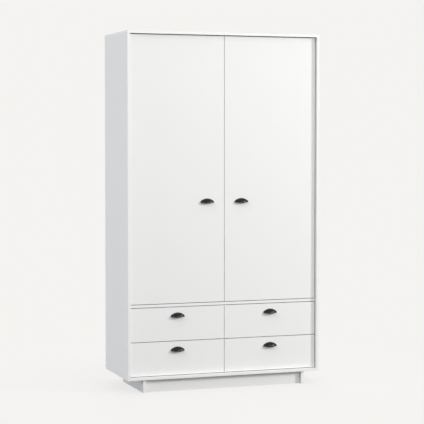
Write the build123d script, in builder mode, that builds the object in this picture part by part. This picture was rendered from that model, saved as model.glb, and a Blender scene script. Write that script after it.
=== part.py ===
"""A white two-door wardrobe with four drawers, on a plinth that is set in from the body.

Millimetres, +Z up, the front faces -Y. The origin is on the floor, below the middle of the whole
object's box with its handles. Depths are counted backwards from the plane of the frame's front edges.
"""
import os
from math import sqrt

from build123d import *

# Body of laminated board
body_width = 1200
body_depth = 500
body_height = 2030
board = 16
back_thickness = 3
back_inset = 1.5  # how far the back sheets stay inside the body's outline
back_joint = 1  # slit between the two back sheets
edge_round = 0.8  # rounding of the edge banding

# Plinth under the body
plinth_height = 76
plinth_side_inset = 95
plinth_front_setback = 10
plinth_front_recess = 24  # front board behind the front ends of the side boards
plinth_rear_setback = 55

# Doors and drawer fronts, set into the frame
front_thickness = 16
front_recess = 22
front_gap = 3  # beside each front
level_gap = 3.5  # above and below each front
drawer_front_height = 197.5
partition_clearance = 2  # between the closed fronts and the edges behind them

# Cup pulls
handle_hole_spacing = 64
handle_end_margin = 11  # from a screw to the end of the pull
handle_height = 27  # also how far the pull stands out, because its section is a quarter round
handle_end_height = 9
handle_wall = 2
handle_boss_radius = 3.5
handle_boss_margin = 1.3  # between a screw boss and the roof of the pull above it
door_handle_inset = 106  # from the meeting edge of a door to the middle of its pull
door_handle_rise = 586  # from the lower edge of a door to the open edge of its pull
drawer_handle_drop = 31  # from the upper edge of a drawer front to the top of its pull

# Machine screws behind the pulls
screw_radius = 2
screw_grip = 6
screw_head_radius = 4
screw_head_height = 2.5
screw_hole_clearance = 0.3
thread_clearance = 0.05

# Single-joint cup hinges
hinges_per_door = 4
hinge_end_distance = 100
cup_radius = 17.5
cup_edge = 4  # board left between the cup and the edge of the door
cup_skin = 3  # board left in front of the cup
cup_wall = 1
cup_fit = 0.1
cup_flange_thickness = 1.2
cup_flange_length = 62
cup_flange_width = 16
cup_pin_inset = 7  # from the rim of the cup to the hinge axis
ear_thickness = 4
ear_margin = 3.5  # metal of an ear around the hinge axis
pin_radius = 1.75
pin_clearance = 0.05
knuckle_radius = 3
knuckle_clearance = 0.5
arm_width = 11
arm_thickness = 2.5
arm_finger = 13  # from the hinge axis to the middle of the neck
arm_standoff = 9.5  # from the back of the door to the bridge of the arm
plate_thickness = 2.5
plate_length = 36
plate_height = 44

# Shelves and hanging rail
shelf_clearance = 1
shelf_plate_clearance = 2.5  # shelves start behind the hinge plates
right_shelf_count = 3
hat_shelf_drop = 310
pin_peg_radius = 2.5
pin_peg_depth = 7
pin_peg_fit = 0.1
pin_pad_reach = 8
pin_pad_width = 10
pin_pad_height = 6
pin_edge_distance = 60
rail_drop = 60
rail_radius = 12.5
rail_wall = 1.2
rail_fit = 0.2
bracket_radius = 22
bracket_base = 3
bracket_collar = 2.5
bracket_depth = 12

# Drawer boxes with folded steel sides, and their runner channels
drawer_rear_clearance = 9
drawer_lift = 22  # from the lower edge of a drawer front to the base of its sides
drawer_side_height = 118
drawer_back_height = 84
drawer_steel = 1.5
drawer_fit = 0.5
ledge_width = 14  # steel ledge under the drawer's bottom board
runner_allowance = 13
runner_steel = 1.5
runner_rear_clearance = 17
running_rail_height = 10
running_rail_inset = 3
runner_play = 0.3
runner_lip_gap = 1

# Cam fittings
cam_radius = 7.5
cam_inset = 34
cam_skin = 3.5
cam_fit = 0.1
cam_setback = 60
bolt_radius = 3.5
bolt_clearance = 0.25
thread_radius = 2.5
thread_depth = 11

# Planes of the object, from front to back
handle_overhang = max(0, handle_height - front_recess)
frame_front = -(body_depth - handle_overhang) / 2
fronts_front = frame_front + front_recess
fronts_back = fronts_front + front_thickness
partition_front = fronts_back + partition_clearance
body_back = frame_front + body_depth
carcass_back = body_back - back_thickness
bridge_front = fronts_back + arm_standoff
plate_back = bridge_front + plate_length
shelf_front = plate_back + shelf_plate_clearance
shelf_back = carcass_back - shelf_clearance
drawer_back = carcass_back - drawer_rear_clearance

# Levels, from the floor up
body_bottom = plinth_height
body_floor = body_bottom + board
fixed_shelf_bottom = body_floor + 2 * drawer_front_height + 3 * level_gap
fixed_shelf_top = fixed_shelf_bottom + board
body_top = plinth_height + body_height
top_underside = body_top - board
door_bottom = fixed_shelf_top + level_gap
door_top = top_underside - level_gap
lower_drawer_bottom = body_floor + level_gap
upper_drawer_bottom = lower_drawer_bottom + drawer_front_height + level_gap

# Places across the width, from the middle outwards
inner_half = body_width / 2 - board
partition_half = board / 2
bay_width = inner_half - partition_half
bay_center = (inner_half + partition_half) / 2
front_width = (2 * inner_half - 3 * front_gap) / 2
front_center = (front_gap + front_width) / 2

os.makedirs("parts", exist_ok=True)


def keep(piece, label):
    """Name a finished piece and write its file."""
    piece.part.label = label
    export_step(piece.part, f"parts/{label}.step")


def box_between(x_span, y_span, z_span, mode=Mode.ADD):
    """Add a box to the current part, given its two limits along each axis."""
    spans = (x_span, y_span, z_span)
    middle = tuple((low + high) / 2 for low, high in spans)
    with Locations(middle):
        Box(*(high - low for low, high in spans), mode=mode)


def rod(center, radius, length, along, mode=Mode.ADD):
    """Add a cylinder to the current part, centred on a point and lying along X, Y or Z."""
    turn = {"X": (0, 90, 0), "Y": (90, 0, 0), "Z": (0, 0, 0)}[along]
    with Locations(center):
        Cylinder(radius, length, rotation=turn, mode=mode)


# Cam fittings: a cam near the end of a board, and a bolt from the cam into the next board
cam_height = board - cam_skin
cam_depths = (frame_front + cam_setback, carcass_back - cam_setback)
cam_boards = (body_bottom, fixed_shelf_bottom)  # undersides of the boards between the sides
cam_x = inner_half - cam_inset
cam_top = top_underside - cam_inset
bolt_length = cam_inset - cam_radius - cam_fit
bolt_middle = bolt_length / 2
board_middle = board / 2

with BuildPart() as cam_fittings:
    for side in (-1, 1):
        for depth in cam_depths:
            for underside in cam_boards:
                level = underside + board_middle
                rod((side * cam_x, depth, underside + cam_height / 2), cam_radius, cam_height, "Z")
                rod((side * (inner_half - bolt_middle), depth, level), bolt_radius, bolt_length, "X")
                rod((side * (inner_half + thread_depth / 2), depth, level), thread_radius, thread_depth, "X")
            across = side * (inner_half + board_middle)
            rod((side * (inner_half + cam_height / 2), depth, cam_top), cam_radius, cam_height, "X")
            rod((across, depth, top_underside - bolt_middle), bolt_radius, bolt_length, "Z")
            rod((across, depth, top_underside + thread_depth / 2), thread_radius, thread_depth, "Z")
keep(cam_fittings, "cam_fittings")

# Shelves: their undersides, and the pins that carry them
hat_shelf_bottom = top_underside - hat_shelf_drop - board
right_space = (top_underside - fixed_shelf_top - right_shelf_count * board) / (right_shelf_count + 1)
right_shelf_bottoms = [
    fixed_shelf_top + (index + 1) * right_space + index * board for index in range(right_shelf_count)
]
pin_depths = (shelf_front + pin_edge_distance, shelf_back - pin_edge_distance)


def peg_holes(face_x, direction, undersides):
    """Drill the blind holes of the shelf pins into a face that looks along +X or -X."""
    for underside in undersides:
        for depth in pin_depths:
            hole_depth = pin_peg_depth + pin_peg_fit
            center = (face_x - direction * hole_depth / 2, depth, underside - pin_pad_height / 2)
            rod(center, pin_peg_radius + pin_peg_fit, hole_depth, "X", Mode.SUBTRACT)


with BuildPart() as shelf_pins:
    pin_rows = [(-inner_half, 1, [hat_shelf_bottom]), (-partition_half, -1, [hat_shelf_bottom])]
    pin_rows += [(inner_half, -1, right_shelf_bottoms), (partition_half, 1, right_shelf_bottoms)]
    for face_x, direction, undersides in pin_rows:
        for underside in undersides:
            for depth in pin_depths:
                level = underside - pin_pad_height / 2
                peg_x = face_x - direction * pin_peg_depth / 2
                rod((peg_x, depth, level), pin_peg_radius, pin_peg_depth, "X")
                with Locations((face_x + direction * pin_pad_reach / 2, depth, level)):
                    Box(pin_pad_reach, pin_pad_width, pin_pad_height)
keep(shelf_pins, "shelf_pins")


def side_panel(side, undersides):
    """Return the left (-1) or right (1) side panel, drilled from the inside for cams and shelf pins."""
    bolt_hole = thread_depth + cam_fit
    cam_hole = cam_height + cam_fit
    x_span = sorted((side * inner_half, side * body_width / 2))
    with BuildPart() as piece:
        box_between(x_span, (frame_front, carcass_back), (body_bottom, top_underside))
        fillet(piece.edges().filter_by(Axis.Z).group_by(Axis.Y)[0], edge_round)
        for depth in cam_depths:
            for underside in cam_boards:
                hole = (side * (inner_half + bolt_hole / 2), depth, underside + board_middle)
                rod(hole, thread_radius + thread_clearance, bolt_hole, "X", Mode.SUBTRACT)
            pocket = (side * (inner_half + cam_hole / 2), depth, cam_top)
            rod(pocket, cam_radius + cam_fit, cam_hole, "X", Mode.SUBTRACT)
            bore = (side * (inner_half + board_middle), depth, top_underside - cam_inset / 2)
            rod(bore, bolt_radius + bolt_clearance, cam_inset, "Z", Mode.SUBTRACT)
        peg_holes(side * inner_half, -side, undersides)
    return piece


# Side panels stand under the top panel
left_side_panel = side_panel(-1, [hat_shelf_bottom])
keep(left_side_panel, "left_side_panel")
right_side_panel = side_panel(1, right_shelf_bottoms)
keep(right_side_panel, "right_side_panel")

# Top panel, with its banded edges rounded at the front and at both ends
with BuildPart() as top_panel:
    box_between((-body_width / 2, body_width / 2), (frame_front, carcass_back), (top_underside, body_top))
    fillet(top_panel.edges() - top_panel.faces().sort_by(Axis.Y)[-1].edges(), edge_round)
    for side in (-1, 1):
        for depth in cam_depths:
            hole = (side * (inner_half + board_middle), depth, top_underside + (thread_depth + cam_fit) / 2)
            rod(hole, thread_radius + thread_clearance, thread_depth + cam_fit, "Z", Mode.SUBTRACT)
keep(top_panel, "top_panel")


def cross_board(front, underside):
    """Return a board between the side panels, with the cams' holes in its underside and ends."""
    with BuildPart() as piece:
        box_between((-inner_half, inner_half), (front, carcass_back), (underside, underside + board))
        fillet(piece.edges().filter_by(Axis.X).group_by(Axis.Y)[0], edge_round)
        cam_hole = cam_height + cam_fit
        for side in (-1, 1):
            for depth in cam_depths:
                rod((side * cam_x, depth, underside + cam_hole / 2), cam_radius + cam_fit, cam_hole, "Z",
                    Mode.SUBTRACT)
                bore = (side * (inner_half - cam_inset / 2), depth, underside + board_middle)
                rod(bore, bolt_radius + bolt_clearance, cam_inset, "X", Mode.SUBTRACT)
    return piece


# The bottom panel belongs to the frame, and the fixed shelf lies level with the closed fronts
bottom_panel = cross_board(frame_front, body_bottom)
keep(bottom_panel, "bottom_panel")
fixed_shelf = cross_board(fronts_front, fixed_shelf_bottom)
keep(fixed_shelf, "fixed_shelf")

# Partitions stand behind the closed fronts
partition_x = (-partition_half, partition_half)
partition_y = (partition_front, carcass_back)

with BuildPart() as upper_partition:
    box_between(partition_x, partition_y, (fixed_shelf_top, top_underside))
    peg_holes(-partition_half, -1, [hat_shelf_bottom])
    peg_holes(partition_half, 1, right_shelf_bottoms)
keep(upper_partition, "upper_partition")

with BuildPart() as lower_partition:
    box_between(partition_x, partition_y, (body_floor, fixed_shelf_bottom))
keep(lower_partition, "lower_partition")

# Back sheets, nailed on from behind, meet on the upper partition
with BuildPart() as back_panel_left:
    box_between(
        (-body_width / 2 + back_inset, -back_joint / 2),
        (carcass_back, body_back),
        (body_bottom + back_inset, body_top - back_inset),
    )
keep(back_panel_left, "back_panel_left")

with BuildPart() as back_panel_right:
    mirror(back_panel_left.part, about=Plane.YZ)
keep(back_panel_right, "back_panel_right")

# Plinth: the side boards run on in front of the front board
plinth_outer = body_width / 2 - plinth_side_inset
plinth_inner = plinth_outer - board
plinth_front = frame_front + plinth_front_setback
plinth_back = body_back - plinth_rear_setback
plinth_board_front = plinth_front + plinth_front_recess

with BuildPart() as plinth_left_board:
    box_between((-plinth_outer, -plinth_inner), (plinth_front, plinth_back), (0, plinth_height))
    fillet(plinth_left_board.edges().filter_by(Axis.Z).group_by(Axis.Y)[0], edge_round)
keep(plinth_left_board, "plinth_left_board")

with BuildPart() as plinth_right_board:
    mirror(plinth_left_board.part, about=Plane.YZ)
keep(plinth_right_board, "plinth_right_board")

with BuildPart() as plinth_front_board:
    box_between(
        (-plinth_inner, plinth_inner), (plinth_board_front, plinth_board_front + board), (0, plinth_height)
    )
keep(plinth_front_board, "plinth_front_board")

with BuildPart() as plinth_rear_board:
    box_between((-plinth_inner, plinth_inner), (plinth_back - board, plinth_back), (0, plinth_height))
keep(plinth_rear_board, "plinth_rear_board")


def loose_shelf(side, underside):
    """Return a shelf that lies on its pins in the left (-1) or right (1) bay."""
    half = bay_width / 2 - shelf_clearance
    middle = side * bay_center
    with BuildPart() as piece:
        box_between((middle - half, middle + half), (shelf_front, shelf_back), (underside, underside + board))
        fillet(piece.edges().filter_by(Axis.X).group_by(Axis.Y)[0], edge_round)
    return piece


hat_shelf = loose_shelf(-1, hat_shelf_bottom)
keep(hat_shelf, "hat_shelf")
for number, underside in enumerate(right_shelf_bottoms, start=1):
    right_shelf = loose_shelf(1, underside)
    keep(right_shelf, f"right_shelf_{number}")

# Hanging rail below the hat shelf, held in a collar at each end
rail_depth = (shelf_front + shelf_back) / 2
rail_level = hat_shelf_bottom - rail_drop
rail_half = bay_width / 2 - bracket_base - rail_fit

with BuildPart() as hanging_rail:
    rod((-bay_center, rail_depth, rail_level), rail_radius, 2 * rail_half, "X")
    rod((-bay_center, rail_depth, rail_level), rail_radius - rail_wall, 2 * rail_half, "X", Mode.SUBTRACT)
keep(hanging_rail, "hanging_rail")

with BuildPart() as rail_brackets:
    for side in (-1, 1):
        wall_x = -bay_center + side * bay_width / 2
        collar_radius = rail_radius + rail_fit
        socket = wall_x - side * (bracket_base + (bracket_depth - bracket_base) / 2)
        rod((wall_x - side * bracket_base / 2, rail_depth, rail_level), bracket_radius, bracket_base, "X")
        rod((wall_x - side * bracket_depth / 2, rail_depth, rail_level), collar_radius + bracket_collar,
            bracket_depth, "X")
        rod((socket, rail_depth, rail_level), collar_radius, bracket_depth - bracket_base, "X", Mode.SUBTRACT)
keep(rail_brackets, "rail_brackets")

# Hinges of the left door: the axis stands inside the cups, and the arms reach into them
door_height = door_top - door_bottom
hinge_pitch = (door_height - 2 * hinge_end_distance) / (hinges_per_door - 1)
hinge_levels = [door_bottom + hinge_end_distance + index * hinge_pitch for index in range(hinges_per_door)]
hinge_places = [(0, 0, level) for level in hinge_levels]
hinge_edge = -inner_half + front_gap  # hinge edge of the left door
cup_depth = front_thickness - cup_skin
cup_x = hinge_edge + cup_edge + cup_radius
axis_x = hinge_edge + cup_edge + cup_pin_inset
cup_floor = fronts_front + cup_skin + cup_wall
axis_y = cup_floor + knuckle_clearance + knuckle_radius
ear_gap = arm_width / 2 + knuckle_clearance
pin_half = ear_gap + ear_thickness
flange_back = fronts_back + cup_flange_thickness

with BuildPart() as cup_cavity:
    cavity_depth = flange_back - cup_floor
    rod((cup_x, cup_floor + cavity_depth / 2, 0), cup_radius - cup_wall, cavity_depth, "Y")
    for side in (-1, 1):
        box_between(
            (cup_x - cup_radius, axis_x + ear_margin),
            (cup_floor, axis_y + ear_margin),
            tuple(sorted((side * ear_gap, side * pin_half))),
            Mode.SUBTRACT,
        )

with BuildPart() as hinge_cup:
    cup_body_depth = cup_depth - cup_fit
    rod((cup_x, fronts_back - cup_body_depth / 2, 0), cup_radius, cup_body_depth, "Y")
    flange_plane = Plane(origin=(cup_x, flange_back, 0), x_dir=(1, 0, 0), z_dir=(0, -1, 0))
    with BuildSketch(flange_plane):
        Circle(cup_radius + cup_wall)
        RectangleRounded(cup_flange_width, cup_flange_length, cup_flange_width / 2 - cup_wall)
    extrude(amount=cup_flange_thickness)
    add(cup_cavity.part, mode=Mode.SUBTRACT)
    rod((axis_x, axis_y, 0), pin_radius + pin_clearance, 2 * pin_half, "Z", Mode.SUBTRACT)

with BuildPart() as left_hinge_cups:
    with Locations(*hinge_places):
        add(hinge_cup.part)
keep(left_hinge_cups, "left_hinge_cups")

with BuildPart() as right_hinge_cups:
    mirror(left_hinge_cups.part, about=Plane.YZ)
keep(right_hinge_cups, "right_hinge_cups")

with BuildPart() as left_hinge_pins:
    for level in hinge_levels:
        rod((axis_x, axis_y, level), pin_radius, 2 * pin_half, "Z")

with BuildPart() as hinge_pins:
    add(left_hinge_pins.part)
    mirror(left_hinge_pins.part, about=Plane.YZ)
keep(hinge_pins, "hinge_pins")

with BuildPart() as hinge_arm:
    neck_x = axis_x + arm_finger
    half = arm_thickness / 2
    bridge_back = bridge_front + arm_thickness
    with BuildSketch(Plane.XY.offset(-arm_width / 2)):
        with BuildLine():
            Polyline(
                (axis_x, axis_y - half),
                (neck_x + half, axis_y - half),
                (neck_x + half, bridge_back),
                (-inner_half, bridge_back),
                (-inner_half, bridge_front),
                (neck_x - half, bridge_front),
                (neck_x - half, axis_y + half),
                (axis_x, axis_y + half),
                close=True,
            )
        make_face()
        with Locations((axis_x, axis_y)):
            Circle(knuckle_radius)
    extrude(amount=arm_width)
    box_between(
        (-inner_half, -inner_half + plate_thickness),
        (bridge_front, plate_back),
        (-plate_height / 2, plate_height / 2),
    )
    rod((axis_x, axis_y, 0), pin_radius + pin_clearance, arm_width, "Z", Mode.SUBTRACT)

with BuildPart() as left_hinge_arms:
    with Locations(*hinge_places):
        add(hinge_arm.part)

with BuildPart() as hinge_arms:
    add(left_hinge_arms.part)
    mirror(left_hinge_arms.part, about=Plane.YZ)
keep(hinge_arms, "hinge_arms")

# One cup pull, standing on the plane of the fronts with its open edge at level zero
hole_x = handle_hole_spacing / 2
pull_half = hole_x + handle_end_margin
hollow_half = pull_half - handle_wall
pull_sagitta = handle_height - handle_end_height
pull_radius = (pull_half**2 + pull_sagitta**2) / (2 * pull_sagitta)
pull_center = handle_height - pull_radius
hollow_radius = pull_radius - handle_wall
hollow_end = pull_center + sqrt(hollow_radius**2 - hollow_half**2)
boss_roof = pull_center + sqrt(hollow_radius**2 - hole_x**2)
boss_rise = boss_roof - handle_boss_radius - handle_boss_margin
boss_places = [(side * hole_x, fronts_front, boss_rise) for side in (-1, 1)]
pull_plane = Plane(origin=(0, fronts_front, 0), x_dir=(1, 0, 0), z_dir=(0, -1, 0))
pull_axis = Axis((0, fronts_front, 0), (1, 0, 0))

with BuildPart() as pull_hollow:
    with BuildSketch(pull_plane):
        with BuildLine():
            Line((-hollow_half, 0), (-hollow_half, hollow_end))
            hollow_top = handle_height - handle_wall
            ThreePointArc((-hollow_half, hollow_end), (0, hollow_top), (hollow_half, hollow_end))
            Line((hollow_half, hollow_end), (hollow_half, 0))
            Line((hollow_half, 0), (-hollow_half, 0))
        make_face()
    revolve(axis=pull_axis, revolution_arc=90)
    for place in boss_places:
        rod(place, handle_boss_radius, 2 * handle_height, "Y", Mode.SUBTRACT)

with BuildPart() as pull:
    with BuildSketch(pull_plane):
        with BuildLine():
            Line((-pull_half, 0), (-pull_half, handle_end_height))
            ThreePointArc((-pull_half, handle_end_height), (0, handle_height), (pull_half, handle_end_height))
            Line((pull_half, handle_end_height), (pull_half, 0))
            Line((pull_half, 0), (-pull_half, 0))
        make_face()
    revolve(axis=pull_axis, revolution_arc=90)
    add(pull_hollow.part, mode=Mode.SUBTRACT)
    for place in boss_places:
        rod(place, screw_radius + thread_clearance, 2 * (screw_grip + thread_clearance), "Y", Mode.SUBTRACT)

with BuildPart() as pull_screws:
    for place_x, place_y, place_z in boss_places:
        head_y = fronts_back + screw_head_height / 2
        shank_length = front_thickness + screw_grip
        rod((place_x, fronts_back - shank_length / 2, place_z), screw_radius, shank_length, "Y")
        rod((place_x, head_y, place_z), screw_head_radius, screw_head_height, "Y")


def pull_at(label, middle, level):
    """Write a pull and its two screws, placed with the middle of its open edge at a point of a front."""
    with BuildPart() as placed_pull:
        with Locations((middle, 0, level)):
            add(pull.part)
    keep(placed_pull, f"{label}_handle")
    with BuildPart() as placed_screws:
        with Locations((middle, 0, level)):
            add(pull_screws.part)
    keep(placed_screws, f"{label}_handle_screws")


def front_panel(middle, z_span, pull_middle, pull_level):
    """Return a door or drawer front, with its front edges rounded and the holes for its pull's screws."""
    with BuildPart() as piece:
        x_span = (middle - front_width / 2, middle + front_width / 2)
        box_between(x_span, (fronts_front, fronts_back), z_span)
        fillet(piece.faces().sort_by(Axis.Y)[0].edges(), edge_round)
        for place_x, place_y, place_z in boss_places:
            hole = (pull_middle + place_x, (fronts_front + fronts_back) / 2, pull_level + place_z)
            rod(hole, screw_radius + screw_hole_clearance, front_thickness, "Y", Mode.SUBTRACT)
    return piece


# Doors, with the pockets of their hinge cups
door_pull_level = door_bottom + door_handle_rise
door_pull_x = front_gap / 2 + door_handle_inset
for name, side in (("left_door", -1), ("right_door", 1)):
    door_levels = (door_bottom, door_top)
    plain_door = front_panel(side * front_center, door_levels, side * door_pull_x, door_pull_level)
    with BuildPart() as door:
        add(plain_door.part)
        for level in hinge_levels:
            pocket = (-side * cup_x, fronts_back - cup_depth / 2, level)
            rod(pocket, cup_radius + cup_fit, cup_depth, "Y", Mode.SUBTRACT)
    keep(door, name)
    pull_at(name, side * door_pull_x, door_pull_level)

# Drawers: a folded steel side carries the bottom on its ledge and runs in a channel of the cabinet
box_half = bay_width / 2 - runner_allowance
board_half = box_half - drawer_steel - drawer_fit
channel_reach = runner_allowance - runner_lip_gap
channel_front = partition_front
channel_back = carcass_back - runner_rear_clearance
left_wall_x = -bay_width / 2  # cabinet wall left of a drawer, counted from the middle of its bay


def extrusion_plane(y, z):
    """Return an upright plane whose drawing is seen from the front, at a bay's left wall."""
    return Plane(origin=(left_wall_x, y, z), x_dir=(1, 0, 0), z_dir=(0, -1, 0))


with BuildPart() as steel_side:
    with BuildSketch(extrusion_plane(fronts_back, 0)):
        with BuildLine():
            wall_in = runner_allowance + drawer_steel
            rail_in = running_rail_inset + drawer_steel
            fold = running_rail_height - drawer_steel
            Polyline(
                (runner_allowance, drawer_side_height),
                (wall_in, drawer_side_height),
                (wall_in, fold),
                (rail_in, fold),
                (rail_in, drawer_steel),
                (wall_in + ledge_width, drawer_steel),
                (wall_in + ledge_width, 0),
                (running_rail_inset, 0),
                (running_rail_inset, running_rail_height),
                (runner_allowance, running_rail_height),
                close=True,
            )
        make_face()
    extrude(amount=fronts_back - drawer_back)

with BuildPart() as runner_channel:
    with BuildSketch(extrusion_plane(channel_front, 0)):
        with BuildLine():
            below = -runner_play
            above = running_rail_height + runner_play
            Polyline(
                (0, below - runner_steel),
                (channel_reach, below - runner_steel),
                (channel_reach, below),
                (runner_steel, below),
                (runner_steel, above),
                (channel_reach, above),
                (channel_reach, above + runner_steel),
                (0, above + runner_steel),
                close=True,
            )
        make_face()
    extrude(amount=channel_front - channel_back)

with BuildPart() as channel_pair:
    add(runner_channel.part)
    mirror(runner_channel.part, about=Plane.YZ)

with BuildPart() as steel_side_right:
    mirror(steel_side.part, about=Plane.YZ)

drawer_places = [
    ("lower_left_drawer", -1, lower_drawer_bottom),
    ("lower_right_drawer", 1, lower_drawer_bottom),
    ("upper_left_drawer", -1, upper_drawer_bottom),
    ("upper_right_drawer", 1, upper_drawer_bottom),
]

with BuildPart() as runner_channels:
    for name, side, bottom in drawer_places:
        with Locations((side * bay_center, 0, bottom + drawer_lift)):
            add(channel_pair.part)
keep(runner_channels, "runner_channels")

for name, side, bottom in drawer_places:
    middle = side * bay_center
    base = bottom + drawer_lift
    bottom_board = base + drawer_steel
    back_base = bottom_board + board
    front_top = bottom + drawer_front_height
    pull_level = front_top - drawer_handle_drop - handle_height

    drawer_front = front_panel(side * front_center, (bottom, front_top), side * front_center, pull_level)
    keep(drawer_front, f"{name}_front")
    pull_at(name, side * front_center, pull_level)

    with BuildPart() as drawer_side_left:
        with Locations((middle, 0, base)):
            add(steel_side.part)
    keep(drawer_side_left, f"{name}_side_left")

    with BuildPart() as drawer_side_right:
        with Locations((middle, 0, base)):
            add(steel_side_right.part)
    keep(drawer_side_right, f"{name}_side_right")

    inside = (middle - board_half, middle + board_half)
    with BuildPart() as drawer_bottom:
        box_between(inside, (fronts_back, drawer_back), (bottom_board, back_base))
    keep(drawer_bottom, f"{name}_bottom")

    with BuildPart() as drawer_rear:
        box_between(inside, (drawer_back - board, drawer_back), (back_base, back_base + drawer_back_height))
    keep(drawer_rear, f"{name}_back")
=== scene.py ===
"""Looks of a white two-door wardrobe with four drawers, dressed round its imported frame.

Metres, +Z up, the front faces -Y and +X is to the right of someone who faces it. The boards and the
hardware keep the frame's own solids and get their finishes here. The pulls are modelled anew, and
small screws and nails that the frame leaves out are added.
"""
import logging
import math
from dataclasses import dataclass, field
from enum import Enum
from typing import Any, Protocol

import bmesh
import bpy
from mathutils import Matrix, Vector


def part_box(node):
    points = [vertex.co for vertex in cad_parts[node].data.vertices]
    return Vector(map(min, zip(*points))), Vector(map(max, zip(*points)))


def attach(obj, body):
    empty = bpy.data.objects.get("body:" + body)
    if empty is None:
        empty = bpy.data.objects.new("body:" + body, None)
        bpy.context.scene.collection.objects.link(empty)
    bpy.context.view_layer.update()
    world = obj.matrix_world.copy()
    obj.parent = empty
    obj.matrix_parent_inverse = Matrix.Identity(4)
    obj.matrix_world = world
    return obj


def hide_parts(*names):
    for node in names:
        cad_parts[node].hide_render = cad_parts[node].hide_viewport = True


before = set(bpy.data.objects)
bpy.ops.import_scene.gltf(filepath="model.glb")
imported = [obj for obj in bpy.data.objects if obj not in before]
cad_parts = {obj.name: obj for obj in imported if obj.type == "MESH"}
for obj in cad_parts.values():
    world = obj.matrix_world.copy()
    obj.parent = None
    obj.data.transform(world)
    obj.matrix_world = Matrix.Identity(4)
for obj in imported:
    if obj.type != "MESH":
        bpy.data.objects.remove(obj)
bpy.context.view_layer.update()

LOG = logging.getLogger("wardrobe")
MM = 0.001
WELD = 0.001 * MM  # points nearer than this become one
NOISE_LOW, NOISE_HIGH = 0.3, 0.7  # nearly all of a noise texture lies between these
WAVE_LENGTH = math.tau / 20  # of the wave texture's bands at a scale of 1


def linear(colour: str) -> tuple[float, float, float, float]:
    """Turn an sRGB hex colour into a linear one.

    Args:
        colour: Six hex digits after a hash sign.

    Returns:
        Red, green, blue and a full alpha.
    """
    parts = [int(colour[i : i + 2], 16) / 255 for i in (1, 3, 5)]
    red, green, blue = (p / 12.92 if p <= 0.04045 else ((p + 0.055) / 1.055) ** 2.4 for p in parts)
    return red, green, blue, 1.0


def per_metre(millimetres: float) -> float:
    """Return the texture scale whose pattern repeats at about this size."""
    return 1000.0 / millimetres


def add_node(
    tree: bpy.types.NodeTree,
    kind: str,
    settings: dict[Any, Any] | None = None,
    links: dict[Any, bpy.types.NodeSocket] | None = None,
) -> bpy.types.Node:
    """Add a shader node with its settings and links.

    Args:
        tree: The node tree that takes the node.
        kind: Blender's name for the kind of node.
        settings: Values of its properties, or of its input sockets by name or number.
        links: Output sockets that feed its input sockets, by name or number.

    Returns:
        The new node.
    """
    node = tree.nodes.new(kind)
    for key, value in (settings or {}).items():
        if isinstance(key, str) and hasattr(node, key):
            setattr(node, key, value)
        else:
            node.inputs[key].default_value = value
    for key, source in (links or {}).items():
        tree.links.new(source, node.inputs[key])
    return node


# Finishes


class Faces(Enum):
    """Axis across a board, along which its two laminated faces look."""

    SIDEWAYS = (1.0, 0.0, 0.0)
    FORWARD = (0.0, 1.0, 0.0)
    LEVEL = (0.0, 0.0, 1.0)


@dataclass(frozen=True)
class Finish:
    """A surface finish: one Principled shader, with its fixed numbers on the shader's own sockets."""

    name: str
    colour: str
    roughness: float
    metallic: float = 0.0
    ior: float | None = None  # a metal keeps the shader's own
    specular: float = 0.5

    def material(self) -> bpy.types.Material:
        """Make the finish's material the first time that it is asked for.

        Returns:
            The material, the same one each time.
        """
        made = bpy.data.materials.get(self.name)
        if made is None:
            made = bpy.data.materials.new(self.name)
            made.use_nodes = True
            made.diffuse_color = linear(self.colour)
            shader = made.node_tree.nodes["Principled BSDF"]
            shader.inputs["Base Color"].default_value = linear(self.colour)
            shader.inputs["Roughness"].default_value = self.roughness
            shader.inputs["Metallic"].default_value = self.metallic
            shader.inputs["Specular IOR Level"].default_value = self.specular
            if self.ior is not None:
                shader.inputs["IOR"].default_value = self.ior
            self.pattern(made.node_tree, shader)
        return made

    def pattern(self, tree: bpy.types.NodeTree, shader: bpy.types.Node) -> None:
        """Add the finish's own pattern to a fresh material; each finish has one."""
        raise NotImplementedError

    def dress(self, *names: str) -> None:
        """Give the finish to nodes of the frame.

        Args:
            names: The nodes' names.
        """
        for name in names:
            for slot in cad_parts[name].material_slots:
                slot.material = self.material()


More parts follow.
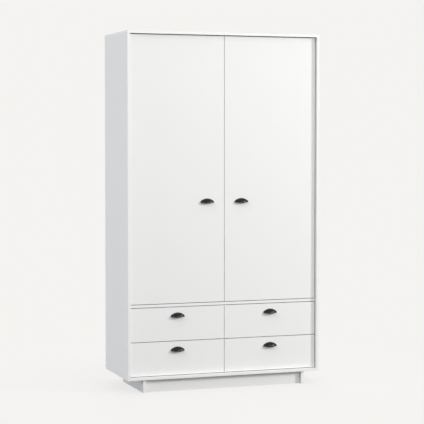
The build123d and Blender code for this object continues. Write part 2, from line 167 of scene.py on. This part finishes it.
@dataclass(frozen=True)
class PearlMelamine(Finish):
    """Chipboard faced with white melamine paper, pressed on a pearl-grained plate; ABS edge band.

    The eye gets an even matt white with a faint pearl grain and hardly any cloud in it. The edge
    band is scraped and buffed, so it is a touch lighter and smoother than the faces.
    """

    faces: Faces = Faces.FORWARD
    cloud_colour: str = "#F1F1F0"
    cloud_mm: float = 210.0
    band_colour: str = "#F4F4F3"
    band_roughness: float = 0.4
    band_up_to: float = 0.6  # cosine to the faces' axis below which all is edge band
    face_from: float = 0.9  # cosine above which all is face
    pearl_mm: float = 7.0  # about 0.8 on the real board, drawn coarser so that it shows
    pearl_depth_mm: float = 0.05
    pearl_strength: float = 0.35
    gloss_swing: float = 0.06  # how far the grain moves the roughness up and down

    def pattern(self, tree: bpy.types.NodeTree, shader: bpy.types.Node) -> None:
        """Add the cloud in the white, the pearl grain and the edge band.

        Args:
            tree: The material's nodes.
            shader: Its Principled shader.
        """
        place = add_node(tree, "ShaderNodeTexCoord")
        cloud = add_node(tree, "ShaderNodeTexNoise", {"Scale": per_metre(self.cloud_mm), "Detail": 3.0},
                         {"Vector": place.outputs["Object"]})
        pearl = add_node(tree, "ShaderNodeTexNoise", {"Scale": per_metre(self.pearl_mm), "Detail": 2.0},
                         {"Vector": place.outputs["Object"]})
        facing = add_node(tree, "ShaderNodeVectorMath", {"operation": "DOT_PRODUCT", 1: self.faces.value},
                          {0: place.outputs["Normal"]})
        size = add_node(tree, "ShaderNodeMath", {"operation": "ABSOLUTE"}, {0: facing.outputs["Value"]})
        on_face = add_node(tree, "ShaderNodeMapRange", {"From Min": self.band_up_to,
                                                        "From Max": self.face_from},
                           {"Value": size.outputs[0]})
        white = add_node(tree, "ShaderNodeMix", {"data_type": "RGBA", 6: linear(self.colour),
                                                 7: linear(self.cloud_colour)}, {0: cloud.outputs[0]})
        colour = add_node(tree, "ShaderNodeMix", {"data_type": "RGBA", 6: linear(self.band_colour)},
                          {0: on_face.outputs[0], 7: white.outputs[2]})
        grain = add_node(tree, "ShaderNodeMapRange", {"From Min": NOISE_LOW, "From Max": NOISE_HIGH,
                                                      "To Min": self.roughness - self.gloss_swing,
                                                      "To Max": self.roughness + self.gloss_swing},
                         {"Value": pearl.outputs[0]})
        gloss = add_node(tree, "ShaderNodeMix", {2: self.band_roughness},
                         {0: on_face.outputs[0], 3: grain.outputs[0]})
        bump = add_node(tree, "ShaderNodeBump", {"Strength": self.pearl_strength,
                                                 "Distance": self.pearl_depth_mm * MM},
                        {"Height": pearl.outputs[0]})
        tree.links.new(colour.outputs[2], shader.inputs["Base Color"])
        tree.links.new(gloss.outputs[0], shader.inputs["Roughness"])
        tree.links.new(bump.outputs[0], shader.inputs["Normal"])


@dataclass(frozen=True)
class LacqueredHardboard(Finish):
    """Wet-pressed hardboard, roller-lacquered white.

    The eye gets a flat white with faint fibre flecks, and on the rear the imprint of the screen
    that the wet sheet was pressed on.
    """

    fleck_colour: str = "#E4E3DF"
    fleck_mm: float = 14.0
    fleck_from: float = 0.42  # noise below this is plain lacquer
    fleck_full: float = 0.75  # noise above this is all fleck
    fleck_fray: float = 0.7  # how ragged the flecks are
    screen_mm: float = 11.0  # about 1.2 on the real sheet, drawn coarser so that it shows
    screen_depth_mm: float = 0.25
    screen_strength: float = 0.3

    def pattern(self, tree: bpy.types.NodeTree, shader: bpy.types.Node) -> None:
        """Add the fibre flecks, and the screen's imprint on the faces that look backwards.

        Args:
            tree: The material's nodes.
            shader: Its Principled shader.
        """
        place = add_node(tree, "ShaderNodeTexCoord")
        fleck = add_node(tree, "ShaderNodeTexNoise", {"Scale": per_metre(self.fleck_mm), "Detail": 6.0,
                                                      "Roughness": self.fleck_fray},
                         {"Vector": place.outputs["Object"]})
        shown = add_node(tree, "ShaderNodeMapRange", {"From Min": self.fleck_from,
                                                      "From Max": self.fleck_full},
                         {"Value": fleck.outputs[0]})
        colour = add_node(tree, "ShaderNodeMix", {"data_type": "RGBA", 6: linear(self.colour),
                                                  7: linear(self.fleck_colour)}, {0: shown.outputs[0]})
        scale = per_metre(self.screen_mm) * WAVE_LENGTH
        threads = [add_node(tree, "ShaderNodeTexWave", {"wave_type": "BANDS", "bands_direction": axis,
                                                        "Scale": scale}, {"Vector": place.outputs["Object"]})
                   for axis in ("X", "Z")]
        screen = add_node(tree, "ShaderNodeMath", {"operation": "ADD"},
                          {0: threads[0].outputs[1], 1: threads[1].outputs[1]})
        parts = add_node(tree, "ShaderNodeSeparateXYZ", {}, {0: place.outputs["Normal"]})
        rear = add_node(tree, "ShaderNodeMath", {"operation": "MULTIPLY", "use_clamp": True},
                        {0: screen.outputs[0], 1: parts.outputs["Y"]})
        bump = add_node(tree, "ShaderNodeBump", {"Strength": self.screen_strength,
                                                 "Distance": self.screen_depth_mm * MM},
                        {"Height": rear.outputs[0]})
        tree.links.new(colour.outputs[2], shader.inputs["Base Color"])
        tree.links.new(bump.outputs[0], shader.inputs["Normal"])


@dataclass(frozen=True)
class PowderCoat(Finish):
    """Thermoset powder sprayed on metal and baked.

    The eye gets a closed satin skin with a fine orange peel, a little duller where it is thin.
    """

    thin_colour: str = "#1E1E1F"
    peel_mm: float = 1.6
    peel_depth_mm: float = 0.03
    peel_strength: float = 0.4
    patch_peels: float = 9.0  # width of a thick or thin patch, in grains of the peel
    thick_shine: float = 0.05  # what a thick coat takes from the roughness
    thin_dullness: float = 0.07  # what a thin coat adds to it

    def pattern(self, tree: bpy.types.NodeTree, shader: bpy.types.Node) -> None:
        """Add the orange peel and the change from thick to thin coat.

        Args:
            tree: The material's nodes.
            shader: Its Principled shader.
        """
        place = add_node(tree, "ShaderNodeTexCoord")
        patch_mm = self.patch_peels * self.peel_mm
        peel = add_node(tree, "ShaderNodeTexNoise", {"Scale": per_metre(self.peel_mm), "Detail": 1.0},
                        {"Vector": place.outputs["Object"]})
        coat = add_node(tree, "ShaderNodeTexNoise", {"Scale": per_metre(patch_mm), "Detail": 3.0},
                        {"Vector": place.outputs["Object"]})
        colour = add_node(tree, "ShaderNodeMix", {"data_type": "RGBA", 6: linear(self.colour),
                                                  7: linear(self.thin_colour)}, {0: coat.outputs[0]})
        gloss = add_node(tree, "ShaderNodeMapRange", {"From Min": NOISE_LOW, "From Max": NOISE_HIGH,
                                                      "To Min": self.roughness - self.thick_shine,
                                                      "To Max": self.roughness + self.thin_dullness},
                         {"Value": coat.outputs[0]})
        bump = add_node(tree, "ShaderNodeBump", {"Strength": self.peel_strength,
                                                 "Distance": self.peel_depth_mm * MM},
                        {"Height": peel.outputs[0]})
        tree.links.new(colour.outputs[2], shader.inputs["Base Color"])
        tree.links.new(gloss.outputs[0], shader.inputs["Roughness"])
        tree.links.new(bump.outputs[0], shader.inputs["Normal"])


@dataclass(frozen=True)
class PlatedSteel(Finish):
    """Steel that was stamped, turned or drawn, and then electroplated.

    The eye gets bright metal whose tint drifts a little with the thickness of the plating, and
    the fine lines of the tool below it.
    """

    tint: str = "#C9C4B8"
    tint_mm: float = 16.0
    line_mm: float = 2.5
    line_shine: float = 0.75  # share of the roughness between the lines
    line_dullness: float = 1.3  # share of it in the lines
    stretch: tuple[float, float, float] = (1.0, 1.0, 1.0)  # under 1 draws the lines out along an axis

    def pattern(self, tree: bpy.types.NodeTree, shader: bpy.types.Node) -> None:
        """Add the drift of the tint and the lines of the tool.

        Args:
            tree: The material's nodes.
            shader: Its Principled shader.
        """
        place = add_node(tree, "ShaderNodeTexCoord")
        drawn = add_node(tree, "ShaderNodeMapping", {"Scale": self.stretch},
                         {"Vector": place.outputs["Object"]})
        drift = add_node(tree, "ShaderNodeTexNoise", {"Scale": per_metre(self.tint_mm), "Detail": 2.0},
                         {"Vector": place.outputs["Object"]})
        lines = add_node(tree, "ShaderNodeTexNoise", {"Scale": per_metre(self.line_mm), "Detail": 3.0},
                         {"Vector": drawn.outputs[0]})
        colour = add_node(tree, "ShaderNodeMix", {"data_type": "RGBA", 6: linear(self.colour),
                                                  7: linear(self.tint)}, {0: drift.outputs[0]})
        gloss = add_node(tree, "ShaderNodeMapRange", {"From Min": NOISE_LOW, "From Max": NOISE_HIGH,
                                                      "To Min": self.roughness * self.line_shine,
                                                      "To Max": self.roughness * self.line_dullness},
                         {"Value": lines.outputs[0]})
        tree.links.new(colour.outputs[2], shader.inputs["Base Color"])
        tree.links.new(gloss.outputs[0], shader.inputs["Roughness"])


def laminate(faces: Faces) -> PearlMelamine:
    """Return the white laminate of a board whose faces look along the given axis."""
    return PearlMelamine(name=f"pearl_pressed_white_melamine_{faces.name.lower()}", colour="#F3F3F2",
                         roughness=0.5, ior=1.5, faces=faces)


# The back sheets are a duller and slightly warmer white than the boards.
HARDBOARD = LacqueredHardboard(name="roller_lacquered_hardboard", colour="#EDECE9", roughness=0.6, ior=1.5)
# The pulls are a deep black whose round backs catch a soft sheen.
BLACK_COAT = PowderCoat(name="black_powder_coated_zinc_casting", colour="#0C0C0D", roughness=0.26, ior=1.45,
                        specular=0.36, thin_colour="#131314")
# The drawers' steel sides and runners are a satin white, a little greyer than the boards.
WHITE_COAT = PowderCoat(name="white_epoxy_coated_steel", colour="#ECECEA", roughness=0.38, ior=1.5,
                        thin_colour="#E6E6E4", peel_mm=3.0)
# The hinges are a warm bright metal, the small fasteners a cooler and duller one.
NICKEL = PlatedSteel(name="nickel_plated_stamped_steel", colour="#CDC8BD", roughness=0.26, metallic=1.0)
ZINC = PlatedSteel(name="zinc_plated_turned_steel", colour="#BFC3C8", roughness=0.36, metallic=1.0,
                   tint="#CFCCC2", tint_mm=9.0)
# The hanging rail is nearly a mirror, with faint lines drawn out along it.
CHROME = PlatedSteel(name="chrome_plated_drawn_tube", colour="#DADBDD", roughness=0.1, metallic=1.0,
                     tint="#D3D5D9", line_mm=1.5, stretch=(0.03, 1.0, 1.0))


# Meshes


def new_piece(name: str, mesh: bmesh.types.BMesh, finish: Finish, body: str) -> bpy.types.Object:
    """Turn a finished mesh into a piece that rides on a body of the frame.

    Args:
        name: The piece's name.
        mesh: Its mesh, in the frame's place; freed here.
        finish: Its finish.
        body: The body that it moves with.

    Returns:
        The new object.
    """
    bmesh.ops.recalc_face_normals(mesh, faces=mesh.faces[:])
    data = bpy.data.meshes.new(name)
    mesh.to_mesh(data)
    mesh.free()
    data.materials.append(finish.material())
    piece = bpy.data.objects.new(name, data)
    bpy.context.scene.collection.objects.link(piece)
    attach(piece, body)
    return piece


def loft(mesh: bmesh.types.BMesh, loops: list[list[bmesh.types.BMVert]]) -> None:
    """Join closed loops of equally many points with smooth quads.

    Args:
        mesh: The mesh that holds the points.
        loops: The loops, each joined to the next.
    """
    for one, two in zip(loops, loops[1:]):
        for k in range(len(one)):
            m = (k + 1) % len(one)
            mesh.faces.new((one[k], one[m], two[m], two[k])).smooth = True


class Recess(Enum):
    """What the top of a fastener's head has for the tool."""

    NONE = "none"
    CROSS = "cross"


@dataclass(frozen=True)
class Head:
    """The head of a screw or nail, stamped into a mesh wherever one is driven in.

    Its profile runs from the foot up, in shares of the radius and of the height. The cross recess
    is given in such shares too.
    """

    radius: float
    height: float
    recess: Recess
    sides: int = 20
    profile: tuple[tuple[float, float], ...] = ((1.0, 0.0), (1.0, 0.3), (0.9, 0.72), (0.68, 1.0))
    wing_half: float = 0.12  # half the width of a wing of the cross
    wing_reach: float = 0.48
    floor_share: float = 0.6  # how much of the cross's outline is left at its floor
    floor_level: float = 0.35

    def stamp(self, mesh: bmesh.types.BMesh, foot: Vector, out: Vector) -> None:
        """Add one head.

        Args:
            mesh: The mesh that takes it.
            foot: The middle of its underside.
            out: The direction in which its top looks.
        """
        turns = [math.tau * k / self.sides for k in range(self.sides)]
        loops = [[mesh.verts.new((share * self.radius * math.cos(a), share * self.radius * math.sin(a),
                                  rise * self.height)) for a in turns] for share, rise in self.profile]
        loft(mesh, loops)
        mesh.faces.new(loops[0])
        made = [v for loop in loops for v in loop]
        if self.recess is Recess.NONE:
            mesh.faces.new(loops[-1])
        else:
            made += self.cut_cross(mesh, loops[-1])
        place = Matrix.Translation(foot) @ out.to_track_quat("Z", "Y").to_matrix().to_4x4()
        bmesh.ops.transform(mesh, matrix=place, verts=made)

    def cut_cross(self, mesh: bmesh.types.BMesh, rim: list[bmesh.types.BMVert]) -> list[bmesh.types.BMVert]:
        """Fill the top inside its rim, with a tapered cross recess sunk into it.

        Args:
            mesh: The mesh that holds the head.
            rim: The innermost loop of the head's top.

        Returns:
            The recess's points.
        """
        narrow, wide = self.wing_half * self.radius, self.wing_reach * self.radius
        corner = ((narrow, narrow), (narrow, wide), (-narrow, wide))
        outline = [(x * c - y * s, x * s + y * c) for c, s in ((1, 0), (0, 1), (-1, 0), (0, -1))
                   for x, y in corner]
        top, floor = ([mesh.verts.new((share * x, share * y, rise * self.height)) for x, y in outline]
                      for share, rise in ((1.0, 1.0), (self.floor_share, self.floor_level)))
        edges = [mesh.edges.new((top[k - 1], top[k])) for k in range(len(top))]
        edges += [mesh.edges.get((rim[k - 1], rim[k])) for k in range(len(rim))]
        bmesh.ops.triangle_fill(mesh, edges=edges, use_beauty=True)
        loft(mesh, [top, floor])
        mesh.faces.new(floor)
        return top + floor


# Sub-assemblies


class Assembly(Protocol):
    """What each sub-assembly of the wardrobe does."""

    def build(self) -> list[bpy.types.Object]:
        """Build the pieces that the frame lacks and return them."""

    def dress(self) -> None:
        """Give the frame's nodes of the sub-assembly their finishes."""


@dataclass
class CupPull:
    """A die-cast half-moon pull, open below, that stands on the face of a door or drawer front.

    Its length, height and place are those of the node that it stands for.
    """

    name: str
    body: str
    wall: float = 2.0 * MM
    end_height: float = 9.0 * MM
    end_round: float = 5.0 * MM
    end_fullness: int = 3  # power of the curve that rounds the ends; 2 is an ellipse
    end_cut: float = 0.9995  # share of the half length at which the ends are closed
    lip_lift: float = 3.5 * MM  # how much the open edge rises from its middle to its ends
    lip_share: float = 0.2  # the most of a low section that the round of the lip takes
    lift_share: float = 0.4  # the most of it that the lift takes
    tip_rise: float = 4.5 * MM  # where the rounded ends run out
    boss_radius: float = 3.4 * MM
    boss_spacing: float = 64.0 * MM
    boss_rise: float = 8.5 * MM
    boss_cover: float = 0.6  # share of the wall that covers the ends of the bosses
    columns: int = 64
    arc_steps: int = 14
    lip_steps: int = 6
    boss_sides: int = 18
    half: float = field(init=False)
    rise: float = field(init=False)
    foot: Vector = field(init=False)

    def __post_init__(self) -> None:
        """Take the pull's place and size from the node that it stands for."""
        low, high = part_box(f"{self.name}_handle")
        self.half = (high.x - low.x) / 2
        self.rise = high.z - low.z
        self.foot = Vector(((low.x + high.x) / 2, high.y, low.z))

    def taper(self, x: float) -> float:
        """Return the share of the full section that the rounded ends leave at a distance from the middle."""
        into_end = (abs(x) - (self.half - self.end_round)) / self.end_round
        return math.sqrt(max(0.0, 1 - max(0.0, into_end) ** self.end_fullness))

    def outline(self, x: float) -> float:
        """Work out the pull's outer radius, which follows an arc with rounded ends.

        Args:
            x: The distance from the pull's middle.

        Returns:
            The radius there.
        """
        drop = self.rise - self.end_height
        arc = (self.half**2 + drop**2) / (2 * drop)
        return (self.rise - arc + math.sqrt(arc**2 - x**2)) * self.taper(x)

    def section(self, x: float) -> list[Vector]:
        """Draw the closed quarter-round section at a distance from the middle.

        Args:
            x: The distance, to the right.

        Returns:
            Points from the front's face over the outside, round the lip and back along the inside.
        """
        outer = self.outline(x)
        lip = min(self.wall / 2, self.lip_share * outer)
        edge = lip + min(self.lip_lift * (x / self.half) ** 2, self.lift_share * outer)
        inner = max(outer - self.wall, edge)  # the hollow closes where the ends get low
        points = []
        for radius, order in ((outer, 1), (inner, -1)):
            last = math.acos(min(1.0, edge / radius))
            arc = [last * k / self.arc_steps for k in range(self.arc_steps + 1)][::order]
            points.append([(radius * math.sin(a), radius * math.cos(a)) for a in arc])
        start, end = points[0][-1][0], points[1][0][0]
        middle, half_wall = (start + end) / 2, (start - end) / 2
        turns = [math.pi * k / self.lip_steps for k in range(1, self.lip_steps)]
        points.insert(1, [(middle + half_wall * math.cos(t), edge - lip * math.sin(t)) for t in turns])
        base = self.foot + Vector((x, 0, self.tip_rise * (1 - self.taper(x))))
        return [base + Vector((0, -out, up)) for run in points for out, up in run]

    def build(self) -> bpy.types.Object:
        """Build the shell and its two screw bosses.

        Returns:
            The pull, in the place of its node.
        """
        mesh = bmesh.new()
        reach = self.half * self.end_cut
        places = [-reach * math.cos(math.pi * k / self.columns) for k in range(self.columns + 1)]
        loops = [[mesh.verts.new(p) for p in self.section(x)] for x in places]
        loft(mesh, loops)
        for end in (loops[0], loops[-1]):
            mesh.faces.new(end)
        for one, two in zip(loops, loops[1:]):  # the shell ends sharply on the front's face
            for row in (0, -1):
                mesh.edges.get((one[row], two[row])).smooth = False
        bmesh.ops.remove_doubles(mesh, verts=mesh.verts[:], dist=WELD)
        for side in (-1, 1):
            self.add_boss(mesh, side * self.boss_spacing / 2)
        pull = new_piece(f"{self.name}_pull", mesh, BLACK_COAT, self.body)
        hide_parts(f"{self.name}_handle")
        return pull

    def add_boss(self, mesh: bmesh.types.BMesh, x: float) -> None:
        """Add a screw boss from the front's face into the roof of the shell.

        Args:
            mesh: The pull's mesh.
            x: The boss's distance from the middle.
        """
        loops: list[list[bmesh.types.BMVert]] = [[], []]
        for k in range(self.boss_sides):
            turn = math.tau * k / self.boss_sides
            across = x + self.boss_radius * math.cos(turn)
            up = self.boss_rise + self.boss_radius * math.sin(turn)
            roof = self.outline(across) - self.boss_cover * self.wall
            depth = math.sqrt(max(roof**2 - up**2, self.wall**2))
            for loop, out in zip(loops, (0.0, depth)):
                loop.append(mesh.verts.new(self.foot + Vector((across, -out, up))))
        loft(mesh, loops)
        for loop in loops:
            mesh.faces.new(loop)


@dataclass
class Carcass:
    """The body of laminated boards, its plinth and its nailed back."""

    nail: Head = Head(radius=2.4 * MM, height=0.5 * MM, recess=Recess.NONE, sides=12,
                      profile=((1.0, 0.0), (0.85, 0.7), (0.45, 1.0)))
    nail_edge: float = 7.0 * MM
    nail_pitch: float = 150.0 * MM

    def build(self) -> list[bpy.types.Object]:
        """Build the nails of the back sheets.

        Returns:
            The new pieces.
        """
        mesh = bmesh.new()
        for sheet in ("back_panel_left", "back_panel_right"):
            low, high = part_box(sheet)
            low, high = (corner + side * Vector((self.nail_edge, 0, self.nail_edge))
                         for corner, side in ((low, 1), (high, -1)))
            steps = [max(1, round((high[axis] - low[axis]) / self.nail_pitch)) for axis in (0, 2)]
            shares = [[k / count for k in range(count + 1)] for count in steps]
            spots = {(share, edge) for share in shares[0] for edge in (0.0, 1.0)}
            spots |= {(edge, share) for share in shares[1] for edge in (0.0, 1.0)}
            for across, up in sorted(spots):
                foot = Vector((low.x + across * (high.x - low.x), high.y, low.z + up * (high.z - low.z)))
                self.nail.stamp(mesh, foot, Vector((0, 1, 0)))
        return [new_piece("back_panel_nails", mesh, ZINC, "carcass")]

    def dress(self) -> None:
        """Give the boards, the back sheets and the cams their finishes."""
        laminate(Faces.SIDEWAYS).dress("left_side_panel", "right_side_panel", "upper_partition",
                                       "lower_partition", "plinth_left_board", "plinth_right_board")
        laminate(Faces.LEVEL).dress("top_panel", "bottom_panel", "fixed_shelf")
        laminate(Faces.FORWARD).dress("plinth_front_board", "plinth_rear_board")
        HARDBOARD.dress("back_panel_left", "back_panel_right")
        ZINC.dress("cam_fittings")


@dataclass
class Interior:
    """What the carcass holds: shelves, the hanging rail and the drawers' runners."""

    screw: Head = Head(radius=2.8 * MM, height=1.6 * MM, recess=Recess.CROSS)
    screw_reach: float = 18.6 * MM  # from the rail's axis
    bracket_base: float = 3.0 * MM

    def build(self) -> list[bpy.types.Object]:
        """Build the screws that hold the rail's two brackets.

        Returns:
            The new pieces.
        """
        mesh = bmesh.new()
        low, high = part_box("rail_brackets")
        middle = (low + high) / 2
        for wall, out in ((low.x, 1), (high.x, -1)):
            for side in (-1, 1):
                foot = Vector((wall + out * self.bracket_base, middle.y, middle.z + side * self.screw_reach))
                self.screw.stamp(mesh, foot, Vector((out, 0, 0)))
        return [new_piece("rail_bracket_screws", mesh, ZINC, "carcass")]

    def dress(self) -> None:
        """Give the shelves, the rail and the runners their finishes."""
        laminate(Faces.LEVEL).dress("hat_shelf", "right_shelf_1", "right_shelf_2", "right_shelf_3")
        CHROME.dress("hanging_rail", "rail_brackets")
        ZINC.dress("shelf_pins")
        WHITE_COAT.dress("runner_channels")


@dataclass
class Hinges:
    """The cup hinges of both doors: their screws, and the finish of arms, pins and cups."""

    levels: int = 4
    cup_screw: Head = Head(radius=3.6 * MM, height=1.5 * MM, recess=Recess.CROSS)
    cup_screw_reach: float = 24.0 * MM  # from the hinge's level, up and down
    flange_half: float = 31.0 * MM
    flange_from_edge: float = 21.5 * MM  # from the door's edge to the middle of a cup
    plate_screw: Head = Head(radius=4.0 * MM, height=1.8 * MM, recess=Recess.CROSS)
    plate_screw_reach: float = 15.0 * MM
    plate_thickness: float = 2.5 * MM
    plate_half_length: float = 18.0 * MM

    def heights(self) -> list[float]:
        """Work out the levels of the hinges from the cups' node.

        Returns:
            The levels, from the lowest up.
        """
        low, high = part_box("left_hinge_cups")
        first, last = low.z + self.flange_half, high.z - self.flange_half
        return [first + (last - first) * k / (self.levels - 1) for k in range(self.levels)]

    def build(self) -> list[bpy.types.Object]:
        """Build the screws of the cups and of the wall plates.

        Returns:
            The new pieces.
        """
        pieces = []
        plates = bmesh.new()
        arms_low, arms_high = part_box("hinge_arms")
        plate_y = arms_high.y - self.plate_half_length
        for side, wall, out in (("left", arms_low.x, 1), ("right", arms_high.x, -1)):
            cups = bmesh.new()
            door_low, door_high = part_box(f"{side}_door")
            edge = door_low.x if out > 0 else door_high.x
            cup_x = edge + out * self.flange_from_edge
            cup_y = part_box(f"{side}_hinge_cups")[1].y
            plate_x = wall + out * self.plate_thickness
            for level in self.heights():
                for way in (-1, 1):
                    cup = Vector((cup_x, cup_y, level + way * self.cup_screw_reach))
                    self.cup_screw.stamp(cups, cup, Vector((0, 1, 0)))
                    plate = Vector((plate_x, plate_y, level + way * self.plate_screw_reach))
                    self.plate_screw.stamp(plates, plate, Vector((out, 0, 0)))
            pieces.append(new_piece(f"{side}_door_cup_screws", cups, NICKEL, f"{side}_door"))
        pieces.append(new_piece("hinge_plate_screws", plates, NICKEL, "carcass"))
        return pieces

    def dress(self) -> None:
        """Give the hinges' own nodes their finish."""
        NICKEL.dress("hinge_arms", "hinge_pins", "left_hinge_cups", "right_hinge_cups")


@dataclass
class Door:
    """One door with its pull."""

    name: str

    def build(self) -> list[bpy.types.Object]:
        """Build the door's pull and return it."""
        return [CupPull(self.name, self.name).build()]

    def dress(self) -> None:
        """Give the door and its pull's screws their finishes."""
        laminate(Faces.FORWARD).dress(self.name)
        ZINC.dress(f"{self.name}_handle_screws")


@dataclass
class Drawer:
    """One drawer: a laminated front, steel sides, and a bottom and back of board."""

    name: str

    def build(self) -> list[bpy.types.Object]:
        """Build the drawer's pull and return it."""
        return [CupPull(self.name, self.name).build()]

    def dress(self) -> None:
        """Give the drawer's boards, steel sides and screws their finishes."""
        laminate(Faces.FORWARD).dress(f"{self.name}_front", f"{self.name}_back")
        laminate(Faces.LEVEL).dress(f"{self.name}_bottom")
        WHITE_COAT.dress(f"{self.name}_side_left", f"{self.name}_side_right")
        ZINC.dress(f"{self.name}_handle_screws")


# Studio


@dataclass(frozen=True)
class Lamp:
    """A square softbox that looks at a point."""

    name: str
    place: tuple[float, float, float]
    aim: tuple[float, float, float]
    side: float
    watts: float
    colour: str = "#FFFFFF"

    def build(self) -> None:
        """Put the lamp into the scene."""
        data = bpy.data.lights.new(self.name, "AREA")
        data.shape = "SQUARE"
        data.size = self.side
        data.energy = self.watts
        data.color = linear(self.colour)[:3]
        lamp = bpy.data.objects.new(self.name, data)
        lamp.location = self.place
        lamp.rotation_euler = (Vector(self.aim) - Vector(self.place)).to_track_quat("-Z", "Y").to_euler()
        bpy.context.scene.collection.objects.link(lamp)


@dataclass
class Studio:
    """A pale studio: soft light all round, softboxes on every side, and the camera."""

    backdrop: str = "#F4F3F1"
    ambient: str = "#FAFBFF"
    ambient_level: float = 0.76
    lamps: tuple[Lamp, ...] = (
        Lamp("key_lamp", (6.07, -4.86, 3.34), (0.0, -0.2, 1.0), side=1.2, watts=290.0, colour="#FFFDF8"),
        Lamp("front_lamp", (1.75, -6.73, 2.91), (0.0, -0.2, 1.1), side=1.6, watts=90.0),
        Lamp("fill_lamp", (-5.25, -3.23, 4.6), (0.0, -0.2, 1.1), side=1.6, watts=50.0),
        Lamp("left_lamp", (-6.58, 0.52, 1.2), (-0.6, 0.0, 1.0), side=0.8, watts=71.0, colour="#F4F7FF"),
        Lamp("rear_lamp", (0.8, 4.2, 2.0), (0.0, 0.2, 1.0), side=1.6, watts=84.0),
    )
    floor_half: float = 30.0
    floor_paint: str = "#EBEAE8"
    floor_bounce: str = "#616160"  # darker than the paint, as a floor that ends outside the picture is
    shadow_share: float = 0.2  # how much of the lit paint, with its shadows, shows near the wardrobe
    shadow_near: float = 0.7  # that share holds up to here
    shadow_far: float = 1.9  # and is gone from here on
    sensor: float = 36.0  # the sensor's width and the lens, in millimetres
    lens: float = 124.307
    lens_drop: float = -0.045
    eye: tuple[float, float, float] = (-2.92467, -8.37338, 1.50298)
    yaw: float = 19.2628  # degrees that the view turns right of straight ahead
    pitch: float = 2.2622  # degrees that it looks down
    sight: float = 200.0  # how far the camera sees

    def build(self) -> None:
        """Set up the world, the floor, the lamps and the camera."""
        bpy.context.scene.view_settings.view_transform = "Standard"
        self.build_world()
        self.build_floor()
        for lamp in self.lamps:
            lamp.build()
        self.build_camera()

    def seen(self, tree: bpy.types.NodeTree) -> bpy.types.NodeSocket:
        """Tell rays that show a surface from rays that light something with it.

        Args:
            tree: The node tree that asks.

        Returns:
            A socket that is 1 for rays from the camera, a reflection or a clear material.
        """
        path = add_node(tree, "ShaderNodeLightPath")
        seen = path.outputs["Is Camera Ray"]
        for kind in ("Is Glossy Ray", "Is Transmission Ray"):
            seen = add_node(tree, "ShaderNodeMath", {"operation": "MAXIMUM"},
                            {0: seen, 1: path.outputs[kind]}).outputs[0]
        return seen

    def build_world(self) -> None:
        """Light the room evenly, and show the backdrop's colour behind everything."""
        world = bpy.data.worlds.new("studio")
        bpy.context.scene.world = world
        world.use_nodes = True
        tree = world.node_tree
        tree.nodes.clear()
        light = add_node(tree, "ShaderNodeBackground", {"Color": linear(self.ambient),
                                                        "Strength": self.ambient_level})
        shown = add_node(tree, "ShaderNodeBackground", {"Color": linear(self.backdrop), "Strength": 1.0})
        mixed = add_node(tree, "ShaderNodeMixShader", {}, {0: self.seen(tree), 1: light.outputs[0],
                                                           2: shown.outputs[0]})
        add_node(tree, "ShaderNodeOutputWorld", {}, {"Surface": mixed.outputs[0]})

    def build_floor(self) -> None:
        """Lay a pale floor that melts into the backdrop and keeps the wardrobe's soft shadow."""
        mesh = bmesh.new()
        bmesh.ops.create_grid(mesh, x_segments=1, y_segments=1, size=self.floor_half)
        data = bpy.data.meshes.new("floor")
        mesh.to_mesh(data)
        mesh.free()
        floor = bpy.data.objects.new("floor", data)
        bpy.context.scene.collection.objects.link(floor)

        paint = bpy.data.materials.new("matt_painted_floor")
        paint.use_nodes = True
        tree = paint.node_tree
        tree.nodes.clear()
        bounce = add_node(tree, "ShaderNodeBsdfDiffuse", {"Color": linear(self.floor_bounce)})
        lit = add_node(tree, "ShaderNodeBsdfDiffuse", {"Color": linear(self.floor_paint)})
        glow = add_node(tree, "ShaderNodeEmission", {"Color": linear(self.backdrop), "Strength": 1.0})
        place = add_node(tree, "ShaderNodeTexCoord")
        away = add_node(tree, "ShaderNodeVectorMath", {"operation": "LENGTH"}, {0: place.outputs["Object"]})
        share = add_node(tree, "ShaderNodeMapRange", {"interpolation_type": "SMOOTHSTEP",
                                                      "From Min": self.shadow_near,
                                                      "From Max": self.shadow_far,
                                                      "To Min": self.shadow_share, "To Max": 0.0},
                         {"Value": away.outputs["Value"]})
        near = add_node(tree, "ShaderNodeMixShader", {}, {0: share.outputs[0], 1: glow.outputs[0],
                                                          2: lit.outputs[0]})
        mixed = add_node(tree, "ShaderNodeMixShader", {}, {0: self.seen(tree), 1: bounce.outputs[0],
                                                           2: near.outputs[0]})
        add_node(tree, "ShaderNodeOutputMaterial", {}, {"Surface": mixed.outputs[0]})
        data.materials.append(paint)

    def build_camera(self) -> None:
        """Stand the camera where the photograph's edges and gaps put it."""
        data = bpy.data.cameras.new("camera")
        data.sensor_width = self.sensor
        data.lens = self.lens
        data.shift_y = self.lens_drop
        data.clip_end = self.sight
        camera = bpy.data.objects.new("camera", data)
        camera.location = self.eye
        camera.rotation_euler = (math.radians(90 - self.pitch), 0.0, math.radians(-self.yaw))
        bpy.context.scene.collection.objects.link(camera)
        bpy.context.scene.camera = camera


def main() -> None:
    """Build and dress the sub-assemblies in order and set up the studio."""
    assemblies: list[Assembly] = [Carcass(), Interior(), Hinges(), Door("left_door"), Door("right_door")]
    assemblies += [Drawer(f"{level}_{side}_drawer")
                   for level in ("lower", "upper") for side in ("left", "right")]
    for assembly in assemblies:
        for piece in assembly.build():
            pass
        assembly.dress()
        LOG.info("%s dressed", assembly)
    Studio().build()


if __name__ == "__main__":
    logging.basicConfig(level=logging.INFO, format="%(message)s")
    main()
